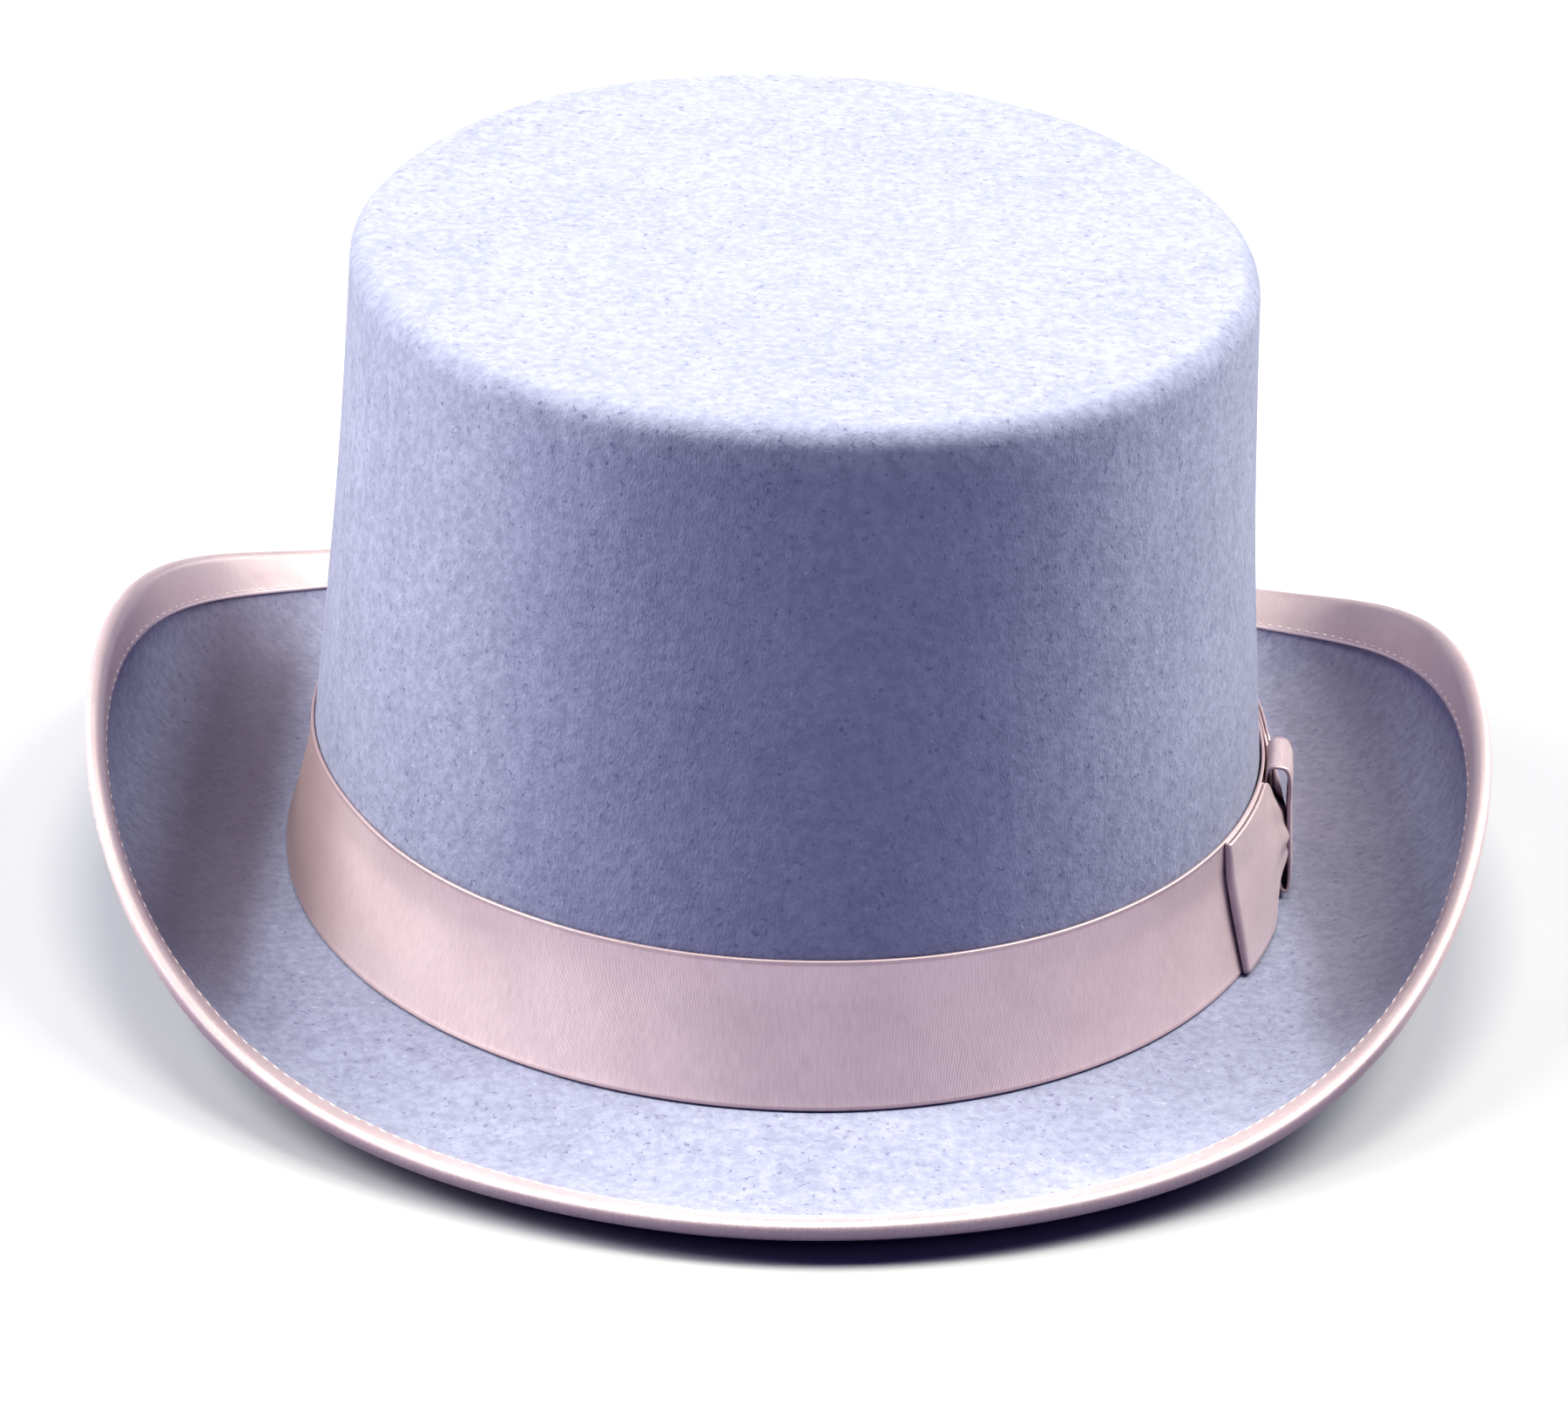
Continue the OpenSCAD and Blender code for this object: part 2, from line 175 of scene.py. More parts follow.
def loft(name, stations, around, start=0.0, sweep=2 * math.pi, tube=False):
    """A grid whose rows follow the stations, each a function of the angle round the hat. A tube's
    last station meets its first. The UV map measures the surface in metres at one angle."""
    rows = stations + [stations[0]] if tube else stations
    mesh = bmesh.new()
    bmesh.ops.create_grid(mesh, x_segments=around, y_segments=len(rows) - 1, size=0.5)
    uv = mesh.loops.layers.uv.new("cloth")
    sample = [row(start + measured_at * sweep) for row in rows]
    across = [0.0]
    for a, b in zip(sample, sample[1:]):
        across.append(across[-1] + (b - a).length)
    reach = max(math.hypot(p.x, p.y) for p in sample) * sweep
    for face in mesh.faces:
        for loop in face.loops:
            row = round((loop.vert.co.y + 0.5) * (len(rows) - 1))
            loop[uv].uv = ((loop.vert.co.x + 0.5) * reach, across[row])
    for vert in mesh.verts:
        row = round((vert.co.y + 0.5) * (len(rows) - 1))
        vert.co = rows[row](start + sweep * (vert.co.x + 0.5))
    bmesh.ops.remove_doubles(mesh, verts=mesh.verts, dist=0.002 * mm)
    if sweep != 2 * math.pi:
        bmesh.ops.holes_fill(mesh, edges=[e for e in mesh.edges if e.is_boundary], sides=0)
    return finish_piece(name, mesh)


def finish_piece(name, mesh):
    bmesh.ops.recalc_face_normals(mesh, faces=mesh.faces)
    data = bpy.data.meshes.new(name)
    mesh.to_mesh(data)
    mesh.free()
    for face in data.polygons:
        face.use_smooth = True
    piece = bpy.data.objects.new(name, data)
    bpy.context.scene.collection.objects.link(piece)
    return piece


def fit(piece, finish, slot, *nodes):
    """Gives a piece its finish and ties it to the hat."""
    piece.data.materials.clear()
    piece.data.materials.append(finish)
    if nodes:
        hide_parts(*nodes)
    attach(piece, "root")
    return piece


class Amount:
    """A number that changes over a surface."""

    def __init__(self, work, socket):
        self.work, self.socket = work, socket

    def sum(self, how, *others):
        return self.work.node("Math", {"operation": how}, {0: self, **dict(enumerate(others, 1))})

    def __add__(self, other):
        return self.sum("ADD", other)

    def __sub__(self, other):
        return self.sum("SUBTRACT", other)

    def __mul__(self, other):
        return self.sum("MULTIPLY", other)

    def __rsub__(self, other):
        return self.work.node("Math", {"operation": "SUBTRACT"}, {0: other, 1: self})

    __radd__ = __add__
    __rmul__ = __mul__

    def between(self, low, high):
        """0 below low, 1 above high and a smooth rise from one to the other."""
        return self.work.node("MapRange", {"interpolation_type": "SMOOTHSTEP"},
                              {"Value": self, "From Min": low, "From Max": high})

    def wave(self, length):
        return (self * (2 * math.pi / length)).sum("SINE") * 0.5 + 0.5


class Finish:
    """A surface finish. What is the same all over is set once, and the rest is linked."""

    def __init__(self, name, **same):
        self.material = bpy.data.materials.new(name)
        self.material.use_nodes = True
        self.tree = self.material.node_tree
        self.shader = self.tree.nodes["Principled BSDF"]
        for socket, value in same.items():
            self.shader.inputs[socket.replace("_", " ")].default_value = value

    def node(self, kind, settings=None, inputs=None, out=0):
        made = self.tree.nodes.new("ShaderNode" + kind)
        for name, value in (settings or {}).items():
            setattr(made, name, value)
        for name, value in (inputs or {}).items():
            socket = made.inputs[name]
            if isinstance(value, Amount):
                self.tree.links.new(value.socket, socket)
            else:
                socket.default_value = value
        return Amount(self, made.outputs[out])

    def place(self, x=1.0, y=1.0, z=1.0):
        """Object coordinates, stretched."""
        where = self.node("TexCoord", out=3)
        return self.node("Mapping", {}, {"Vector": where, "Scale": (x, y, z)})

    def axes(self):
        """Distances from the hat's middle along its own axes."""
        parts = self.node("SeparateXYZ", {}, {0: self.node("TexCoord", out=3)})
        return [Amount(self, parts.socket.node.outputs[k]) for k in range(3)]

    def grain(self, per_metre, detail=3.0, rough=0.5, at=None):
        return self.node("TexNoise", {}, {"Vector": at or self.place(), "Scale": per_metre,
                                          "Detail": detail, "Roughness": rough})

    def along_across(self):
        """Distances along and across a ribbon or cloth, from its own map."""
        split = self.node("UVMap", {"uv_map": "cloth"})
        parts = self.node("SeparateXYZ", {}, {0: split})
        return parts, Amount(self, parts.socket.node.outputs[1])

    def blend(self, low, high, part):
        return self.node("Mix", {"data_type": "RGBA"}, {0: part, 6: low, 7: high}, out=2)

    def relief(self, height, depth, under=None):
        inputs = {"Height": height, "Strength": 1.0, "Distance": depth}
        if under:
            inputs["Normal"] = under
        return self.node("Bump", {}, inputs)

    def link(self, **to):
        for socket, value in to.items():
            self.tree.links.new(value.socket, self.shader.inputs[socket.replace("_", " ")])
        return self.material


def trough_painted_shade(work, top_face):
    """Painted shade in the brim's troughs beside the crown, most on the wearer's right."""
    out, along, up = work.axes()
    across = work.along_across()[1]
    beside_crown = out.sum("ABSOLUTE").between(86 * mm, 95 * mm)
    inside_edge = 1 - out.sum("ABSOLUTE").between(103 * mm, 118 * mm)
    low_down = 1 - up.between(30 * mm, 45 * mm)
    off_ends = 1 - along.sum("ABSOLUTE").between(50 * mm, 110 * mm)
    above = 1 - across.between(top_face - 2 * mm, top_face)
    most = 0.68 - out.between(-50 * mm, 50 * mm) * 0.3
    return beside_crown * inside_edge * low_down * off_ends * above * most


def front_painted_shade(work):
    """Painted shade on the middle of the crown's front."""
    out, along, up = work.axes()
    middle = 1 - out.sum("ABSOLUTE").between(25 * mm, 62 * mm)
    forward = 1 - along.between(-80 * mm, -50 * mm)
    on_side = up.between(12 * mm, 30 * mm) * (1 - up.between(108 * mm, 116 * mm))
    return middle * forward * on_side * 0.38


def wool_felt(top_face):
    """Fine even mottle in the nap, a few dark and pale fibres, and painted shade in the brim's troughs and on
    the middle of the crown's front.
    """
    work = Finish("wool_felt", Roughness=0.95, Sheen_Weight=0.22, Sheen_Roughness=0.45,
                  Sheen_Tint=(0.92, 0.94, 1.0, 1), Specular_IOR_Level=0.10)
    clouds = work.grain(45, 3, 0.5)
    mottle = work.grain(560, 4, 0.65)
    nap = work.grain(210, 3, 0.6, at=work.place(1.0, 1.0, 0.4))
    fibre = work.grain(2600, 2, 0.6, at=work.place(1, 1, 0.5))
    specks = work.grain(900, 2, 0.5)
    shade = mottle.between(0.33, 0.67) * 0.62 + nap.between(0.35, 0.65) * 0.22
    shade = shade + clouds.between(0.3, 0.7) * 0.16
    base = work.blend((0.225, 0.23, 0.34, 1), (0.32, 0.33, 0.465, 1), shade)
    dark = work.blend(base, (0.125, 0.11, 0.23, 1), (1 - specks.between(0.29, 0.36)) * 0.6)
    light = work.blend(dark, (0.50, 0.53, 0.66, 1), specks.between(0.68, 0.76) * 0.4)
    # Painted shade: the felt is darkened in the brim's troughs beside the crown.
    trough_shaded = work.blend(light, (0.125, 0.10, 0.135, 1), trough_painted_shade(work, top_face))
    # Painted shade: the middle of the crown's front is darkened.
    wear_and_shade = work.blend(trough_shaded, (0.17, 0.175, 0.33, 1), front_painted_shade(work))
    soft = work.relief(mottle + nap * 0.6, 0.2 * mm)
    return work.link(Base_Color=wear_and_shade, Normal=work.relief(fibre, 0.10 * mm, soft))


def steps(low, high, count, first=0):
    return [low + (high - low) * k / count for k in range(first, count + 1)]


cuts = {}


def cut(turn):
    """The brim cut at an angle, worked out once."""
    key = round(turn % (2 * math.pi), 9)
    if key not in cuts:
        cuts[key] = BrimCut(key)
    return cuts[key]


def crown_wander(turn, high):
    """The slight hollows that blocking leaves in the crown's side."""
    near = Vector((2.2 * math.sin(turn), 2.2 * math.cos(turn), high / (45 * mm)))
    return 0.35 * mm * noise.noise(near) * min(1, high / (20 * mm))


def crown_rows(off, heights):
    return [lambda t, h=h: on_crown(t, h, off + crown_wander(t, h)) for h in heights]


def brim_rows(off, parts):
    return [lambda t, p=p: cut(t).bend(p, off) for p in parts]


side_heights = steps(foot_round, crown_high - tip_round, 26)
over = (
    [lambda t, p=p: tip_point(t, p, 0) for p in steps(0, 1, 12)]
    + [lambda t, r=r: shoulder(t, r, crown_wander(t, crown_high)) for r in steps(math.pi / 2, 0, 8, 1)]
    + crown_rows(0, side_heights[::-1][1:])
    + [lambda t, p=p: cut(t).foot_corner(p, half_felt) for p in steps(0, 1, 6, 1)]
    + brim_rows(half_felt, steps(0, 1, 26, 1))
    + [lambda t, b=b: cut(t).edge(b, half_felt) for b in steps(straight_end, felt_stops, 4, 1)]
)
under = (
    [lambda t, b=b: cut(t).edge(b, -half_felt) for b in steps(felt_stops, straight_end, 4)[:-1]]
    + brim_rows(-half_felt, steps(1, 0, 26)[:-1])
    + [lambda t, p=p: cut(t).foot_corner(p, -half_felt) for p in steps(1, 0, 6)[:-1]]
    + crown_rows(-felt_thick, side_heights[:-1])
    + [lambda t, r=r: shoulder(t, r, -felt_thick) for r in steps(0, math.pi / 2, 6)]
    + [lambda t, p=p: tip_point(t, p, -felt_thick) for p in steps(1, 0, 8, 1)]
)
felt = loft("felt_body", over + under, 300)
over_points = [row(measured_at * 2 * math.pi) for row in over]
top_face = sum((b - a).length for a, b in zip(over_points, over_points[1:]))
fit(felt, wool_felt(top_face), "felt", "felt_body")


# ---- Brim wire ----
# A springy steel wire that runs round the brim inside the fold of the binding and holds the curl.
# It is whipped to the felt's raw edge before the ribbon goes on.


def drawn_steel():
    work = Finish("drawn_steel", Metallic=1.0)
    scratches = work.grain(900, 3, 0.6)
    tone = work.blend((0.40, 0.40, 0.42, 1), (0.58, 0.58, 0.60, 1), scratches)
    return work.link(Base_Color=tone, Roughness=scratches * 0.2 + 0.3)


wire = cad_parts["brim_wire"]
wire.data.materials.clear()
wire.data.materials.append(drawn_steel())


# ---- Brim binding ----
# A satin-faced ribbon folded lengthways over the brim's edge and sewn down along both selvedges,
# so that it puckers a little between the stitches. Its ends lap at the back of the hat.

ribbon_light = (0.74, 0.605, 0.66, 1)
ribbon_mid = (0.61, 0.485, 0.54, 1)
stitch_pitch = 3.1 * mm
edge_length = 2 * math.pi * math.sqrt((edge_half.x ** 2 + edge_half.y ** 2) / 2) * 1.035
binding_stitches = round(edge_length / stitch_pitch)
lap = math.radians(4)


def satin_ribbon(name, wide, around_fold=False):
    """Weft ribs across the ribbon, a slow change of shade along it, and cord-like selvedges. Round a
    fold the ribbon is painted a fifth darker as shade, its selvedges are painted pale as a highlight
    and the underside of both ends has painted shade. A flat ribbon has painted shade at the wearer's right."""
    work = Finish(name, Metallic=0.3, Sheen_Weight=0.15, Sheen_Roughness=0.3,
                  Sheen_Tint=(1.0, 0.93, 0.95, 1), Specular_IOR_Level=0.8)
    along, across = work.along_across()
    threads = work.node("CombineXYZ", {}, {0: along, 1: across * 0.14})
    ribs = along.wave(0.24 * mm)
    slub = work.grain(2300, 2, 0.5, at=threads)
    shade = work.grain(60, 3, 0.5)
    low_edge = 1 - across.between(0.45 * mm, 0.75 * mm)
    high_edge = across.between(wide - 0.75 * mm, wide - 0.45 * mm)
    selvedge = (low_edge + high_edge).sum("MINIMUM", 1.0)
    tone = slub.between(0.3, 0.7) * 0.45 + shade.between(0.3, 0.7) * 0.4 + ribs * 0.15
    cloth = work.blend(ribbon_mid, ribbon_light, tone)
    if around_fold:
        # Painted shade: the binding's copy of the ribbon is a fifth darker than the hatband's.
        cloth = work.blend((0, 0, 0, 1), cloth, 0.8)
        # Painted shade on the underside of the binding at the front and back of the brim.
        ends = work.axes()[1].sum("ABSOLUTE").between(70 * mm, 105 * mm)
        underside = across.between(wide * 0.44, wide * 0.56)
        cloth = work.blend(cloth, (0.17, 0.115, 0.20, 1), ends * underside * 0.75)
        # Painted highlight: the fold's selvedges are pale, where the flat ribbon's are dark.
        selvedge_tone = (0.80, 0.69, 0.73, 1)
    else:
        # Painted shade on the ribbon at the wearer's right, where the satin faces the dark trough.
        painted_side_shade = (1 - work.axes()[0].between(-85 * mm, -70 * mm)) * 0.65
        cloth = work.blend(cloth, (0.30, 0.19, 0.20, 1), painted_side_shade)
        selvedge_tone = (0.44, 0.33, 0.37, 1)
    colour = work.blend(cloth, selvedge_tone, selvedge * 0.6)
    weave = work.relief(ribs * (1 - selvedge) + slub * 0.7, 0.035 * mm)
    return work.link(Base_Color=colour, Roughness=slub * 0.12 + 0.34, Normal=weave)


def bead(distance):
    """The selvedge's cord, by the distance from the ribbon's edge."""
    return 0.08 * mm * math.exp(-((distance - 0.35 * mm) / (0.3 * mm)) ** 2)


def pucker(turn, back):
    """The ribbon lifts between stitches, most at its selvedge, and ripples a little along the fold."""
    near = max(0, (back - (binding_wide - 3.5 * mm)) / (3.5 * mm))
    between = 0.5 - 0.5 * math.cos(binding_stitches * turn)
    ripple = 0.12 * mm * noise.noise(Vector((30 * math.sin(turn), 30 * math.cos(turn), back / (4 * mm))))
    return 0.16 * mm * near ** 2 * between + abs(ripple)


def lapped(turn):
    """How far the finishing end of the binding lies over its start."""
    past = (turn - (3 * math.pi - lap)) / (0.3 * lap)
    return (ribbon_thick + gap) * min(1, max(0, past))


def bound(turn, back, side, off):
    """A point of the ribbon: back from the edge on the top (1) or under (-1) face, off the felt."""
    lift = half_felt + gap + off + (pucker(turn, back) if off > 0 else 0) + lapped(turn)
    wander = uneven(turn, 7.7 + side, 0.25 * mm) * back / binding_wide
    return cut(turn).edge(back + wander, side * lift)


def folded(turn, angle, off):
    """A point of the fold itself, from the top face round to the underside."""
    reach = half_felt + gap + off + lapped(turn)
    return cut(turn).edge(edge_round - reach * math.cos(angle), reach * math.sin(angle))


outside_backs = steps(binding_wide, edge_round, 14)[:-1]


def binding_face(side, off, backs):
    return [lambda t, b=b: bound(t, b, side, off + (bead(binding_wide - b) if off > 0 else 0)) for b in backs]


def binding_fold(off, low, high):
    return [lambda t, a=a: folded(t, a, off) for a in steps(low, high, 12)]


binding_rows = (
    binding_face(1, ribbon_thick, outside_backs)
    + binding_fold(ribbon_thick, math.pi / 2, -math.pi / 2)
    + binding_face(-1, ribbon_thick, outside_backs[::-1])
    + binding_face(-1, 0, [binding_wide, 5 * mm])
    + binding_fold(0, -math.pi / 2, math.pi / 2)[::3]
    + binding_face(1, 0, [5 * mm, binding_wide])
)
binding = loft("brim_binding", binding_rows, 760, math.pi, 2 * math.pi + lap, tube=True)
binding_flat = 2 * (binding_wide - edge_round) + math.pi * edge_round
fit(binding, satin_ribbon("binding_ribbon", binding_flat, True), "ribbon", "brim_binding")


def spun_thread(name, tone):
    work = Finish(name, Roughness=0.55, Sheen_Weight=0.3, Specular_IOR_Level=0.4)
    twist = work.grain(2500, 2, 0.5)
    dark = tuple(0.72 * c for c in tone[:3]) + (1,)
    return work.link(Base_Color=work.blend(dark, tone, twist), Normal=work.relief(twist, 0.04 * mm))


def sew(name, places, length, thick):
    """One rounded stitch at each place, given as its middle, its direction and its outward side."""
    mesh = bmesh.new()
    for middle, along, out in places:
        side = along.cross(out).normalized()
        turn = Matrix((along.normalized(), side, along.normalized().cross(side))).transposed().to_4x4()
        size = Matrix.Diagonal((length / 2, thick / 2, thick / 2, 1))
        laid = Matrix.Translation(middle) @ turn @ size @ Matrix.Rotation(math.pi / 2, 4, "Y")
        bmesh.ops.create_uvsphere(mesh, u_segments=6, v_segments=6, radius=1, matrix=laid)
    return finish_piece(name, mesh)


def binding_stitch_places(side):
    places = []
    for k in range(binding_stitches):
        turn = 2 * math.pi * k / binding_stitches
        back = binding_wide - 0.95 * mm + 0.12 * mm * noise.noise(Vector((k * 1.3, side, 0)))
        here = bound(turn, back, side, ribbon_thick + 0.02 * mm)
        there = bound(turn + 0.004, back, side, ribbon_thick + 0.02 * mm)
        above = bound(turn, back, side, ribbon_thick + 1 * mm)
        places.append((here, there - here, above - here))
    return places


binding_thread = spun_thread("binding_thread", (0.88, 0.78, 0.80, 1))
sewn_edge = sew("binding_stitches", binding_stitch_places(1) + binding_stitch_places(-1), 1.5 * mm, 0.34 * mm)
fit(sewn_edge, binding_thread, "ribbon")


# ---- Hatband ----
# A 25 mm ribbon of the same satin drawn tight round the crown's foot. Its lower selvedge rides up
# on the rounding of the felt, so it flares, and its ends are hidden under the bow.

band_low = 0.6 * mm
band_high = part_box("hatband")[1].z - foot_z


def flare(turn, high):
    """The ribbon's lower part stands out over the rounding, least at the sides."""
    return (4.1 - 1.7 * curl(turn)) * mm * max(0, 1 - high / (18 * mm)) ** 1.2


def band_off(turn, high):
    """The band's back off the felt: its flare, and the places where it stands a little loose."""
    loose = noise.noise(Vector((5 * math.sin(turn), 5 * math.cos(turn), high / (14 * mm))))
    top = max(0, (high - band_high + 5 * mm) / (5 * mm))
    lift = max(0, uneven(turn, 11.3, 0.7 * mm)) * top ** 2
    return flare(turn, high) + gap + 0.18 * mm * (0.5 + 0.5 * loose) + lift


def band_height(turn, high):
    """The ribbon wanders a hair up and down round the crown."""
    return high + uneven(turn, 5.5, 0.5 * mm) * min(1, high / band_high)


def band_point(turn, high, off):
    lift = crown_wander(turn, high) + band_off(turn, high) + off
    return on_crown(turn, band_height(turn, high), lift)


def band_rows(off, heights):
    rows = []
    for high in heights:
        edge = min(high - band_low, band_high - high)
        thick = off + (bead(edge) if off else 0)
        rows.append(lambda t, h=high, o=thick: band_point(t, h, o))
    return rows


near_edge = [0, 0.2 * mm, 0.4 * mm, 0.6 * mm, 0.9 * mm, 1.4 * mm]
band_heights = [band_low + d for d in near_edge] + steps(band_low + 2.2 * mm, band_high - 2.2 * mm, 16)
band_heights += [band_high - d for d in near_edge[::-1]]
band_faces = band_rows(ribbon_thick, band_heights) + band_rows(0, band_heights[::-2])
hatband = loft("hatband", band_faces, 420, tube=True)
fit(hatband, satin_ribbon("hatband_ribbon", band_high - band_low + 0.6 * mm), "ribbon", "hatband")


# ---- Bow ----
# A flat bow of the same ribbon on the wearer's left: two folded loops gathered in the middle, and a
# short ribbon wrapped round the gathers, all tacked through the band.

bow_turn = math.radians(84)
bow_middle = 12.4 * mm
bow_gap = 0.25 * mm
loop_long = 35.3 * mm
loop_starts = 1.5 * mm
against_band = 0.3 * mm
fold_from, fold_to = 0.46, 0.54
turn_per_metre = 2 / (crown_half.x + crown_half.y)
ribbon_half = 11.6 * mm
gathered_half = 5 * mm


def on_bow(out, up, off):
    """A point of the bow: along the band from the knot, up from its middle and off the band."""
    turn, high = bow_turn + out * turn_per_metre, bow_middle + up
    return on_crown(turn, high, flare(turn, high) + 2 * gap + ribbon_thick + bow_gap + off)


def ease(part):
    part = min(1, max(0, part))
    return part * part * (3 - 2 * part)


def loop_half(out, side):
    """Half the loop's height. It is gathered in at the knot, more gradually below than above."""
    taper = 9 * mm if side > 0 else 18 * mm
    return gathered_half + (ribbon_half - gathered_half) * ease((out - loop_starts) / taper)


def hump(out, press):
    """How far the gathers round the loop out from the band. The rear loop is pressed flatter."""
    return 0.6 * mm / press + 1.7 * mm * max(0, 1 - out / loop_long) ** (1.9 * press)


def over_knot(out):
    """Both layers are lifted over the back of the knot's ribbon."""
    return 0.8 * mm * (1 - ease((out - 5 * mm) / (6 * mm)))


def pleat(out, side):
    """Gathers that start deep at the knot and die out towards the fold."""
    depth = 0.3 * mm * (1 - ease(out / (20 * mm)))
    return depth * (math.cos(3 * math.pi * side + 0.6) + 0.35 * math.sin(7 * side))


def loop_point(part, side, press):
    """Out along the band, round the fold and back outside it, as (out, off)."""

    def outside(out):
        rounded = hump(out, press) * (1 - side * side)
        edge = 0.8 * mm + 0.35 * mm * out / loop_long + over_knot(out)
        return edge + rounded + pleat(out, side) * (1 - side ** 4)

    fold = (outside(loop_long) - against_band) / 2
    fold_at = loop_long - fold
    if part < fold_from:
        out = loop_starts + (fold_at - loop_starts) * part / fold_from
        return out, against_band + over_knot(out)
    if part < fold_to:
        turn = math.pi * ((part - fold_from) / (fold_to - fold_from) - 0.5)
        return fold_at + fold * math.cos(turn), against_band + fold * (1 + math.sin(turn))
    out = loop_starts + (fold_at - loop_starts) * (1 - part) / fold_from
    return out, max(against_band + over_knot(out) + 0.5 * mm, outside(out))


def ribbon_strip(name, long_steps, wide_steps, shape, length, wide):
    """A length of ribbon shaped by a function of its place along and across."""
    mesh = bmesh.new()
    bmesh.ops.create_grid(mesh, x_segments=long_steps, y_segments=wide_steps, size=0.5)
    uv = mesh.loops.layers.uv.new("cloth")
    for face in mesh.faces:
        for loop in face.loops:
            loop[uv].uv = ((loop.vert.co.x + 0.5) * length, (loop.vert.co.y + 0.5) * wide)
    for vert in mesh.verts:
        vert.co = shape(vert.co.x + 0.5, vert.co.y + 0.5)
    bmesh.ops.remove_doubles(mesh, verts=mesh.verts, dist=0.002 * mm)
    piece = finish_piece(name, mesh)
    body = piece.modifiers.new("ribbon thickness", "SOLIDIFY")
    body.thickness = 0.42 * mm
    body.offset = 0
    return piece


def bow_loop(name, facing, press):
    def shape(part, wide):
        side = 2 * wide - 1
        out, off = loop_point(part, side, press)
        return on_bow(facing * out, side * loop_half(out, side), off)

    loop = ribbon_strip(name, 140, 40, shape, 2 * loop_long, 2 * ribbon_half)
    fit(loop, satin_ribbon(name + "_ribbon", 2 * ribbon_half), "ribbon", name)


bow_loop("bow_front_loop", -1, 1)
bow_loop("bow_rear_loop", 1, 2.4)

knot_wide = 12 * mm
knot_half = 11.8 * mm
knot_up = 0.9 * mm
knot_out = 2.6 * mm


def squared(x, power):
    return math.copysign(abs(x) ** power, x)


def knot_shape(part, wide):
    """Once round the gathers. It puffs out at the top, where the ends meet behind, and is drawn in
    close at the bottom."""
    angle = 2 * math.pi * part
    side = 2 * wide - 1
    crease = 0.3 * mm * math.cos(2.5 * math.pi * side) * max(0, -math.cos(angle))
    up = knot_half * squared(-math.sin(angle), 0.6)
    slack = 0.68 + 0.32 * up / knot_half
    off = slack * knot_out * (1 - squared(math.cos(angle), 0.6)) + 0.3 * mm
    narrow = 1 - 0.12 * max(0, -math.cos(angle))
    return on_bow(side * narrow * knot_wide / 2, knot_up + up, off + crease)


knot_round = 4 * knot_half + 4 * knot_out
knot = ribbon_strip("bow_knot", 72, 16, knot_shape, knot_round, knot_wide)
fit(knot, satin_ribbon("bow_knot_ribbon", knot_wide), "ribbon", "bow_knot")


# ---- Sweatband ----
# A strip of thin leather that stands inside the head opening. A reed in a woven tape runs along its
# lower edge, and the tape is what the hat maker's needle goes through into the felt.

lining_off = -felt_thick - 2 * gap
lining_thick = 0.4 * mm
leather_off = lining_off - lining_thick - gap
leather_thick = 0.9 * mm
leather_low = -1.4 * mm
leather_high = 34.6 * mm


def band_leather():
    work = Finish("band_leather", Specular_IOR_Level=0.45)
    pores = work.node("TexVoronoi", {"feature": "DISTANCE_TO_EDGE"},
                      {"Vector": work.place(), "Scale": 1100.0})
    clouds = work.grain(45, 4, 0.6)
    fine = work.grain(1500, 3, 0.6)
    tone = work.blend((0.20, 0.095, 0.045, 1), (0.36, 0.19, 0.10, 1), clouds * 0.7 + fine * 0.3)
    along, across = work.along_across()
    wear_and_shade = 1 - across.between(0.5 * mm, 2.2 * mm)
    colour = work.blend(tone, (0.13, 0.06, 0.03, 1), wear_and_shade * 0.5)
    skin = work.relief(pores.between(0.0, 0.12) + fine * 0.5, 0.05 * mm)
    return work.link(Base_Color=colour, Roughness=clouds * 0.2 + 0.36, Normal=skin)


def leather_wander(turn, high):
    """The free upper edge stands in a little and isn't quite even."""
    free = max(0, high - 12 * mm) / (leather_high - 12 * mm)
    return -0.5 * mm * free ** 2 * (1 + uneven(turn, 2.2, 1.2))


def tooled(high):
    """A line tooled along the leather below its upper edge."""
    return 0.22 * mm * math.exp(-((high - leather_high + 3 * mm) / (0.35 * mm)) ** 2)


def joint(turn):
    """The groove where the leather's ends meet at the back."""
    away = abs(turn - math.pi) * crown_half.y
    return 0.4 * mm * math.exp(-(away / (0.4 * mm)) ** 2)


def leather_rows(off, heights):
    rows = []
    for high in heights:
        inner = off < leather_off
        rows.append(lambda t, h=high, o=off, i=inner: on_crown(
            t, h, o + leather_wander(t, h) + (tooled(h) + joint(t) if i else 0)))
    return rows


leather_heights = [leather_low + d * mm for d in (0, 0.15, 0.5)] + steps(0, 28 * mm, 10)
leather_heights += steps(28.5 * mm, 33.5 * mm, 16) + [leather_high - d * mm for d in (0.5, 0.15, 0)]
inner_leather = [leather_off - leather_thick + (0.3 * mm if k in (0, len(leather_heights) - 1) else 0)
                 for k in range(len(leather_heights))]
leather_faces = [leather_rows(off, [high])[0] for off, high in zip(inner_leather, leather_heights)]
leather_faces += leather_rows(leather_off, leather_heights[::-1][::3])
sweatband = loft("sweatband", leather_faces, 360, tube=True)
fit(sweatband, band_leather(), "leather", "sweatband")

reed_thick = 1.8 * mm
reed_high = -1.2 * mm


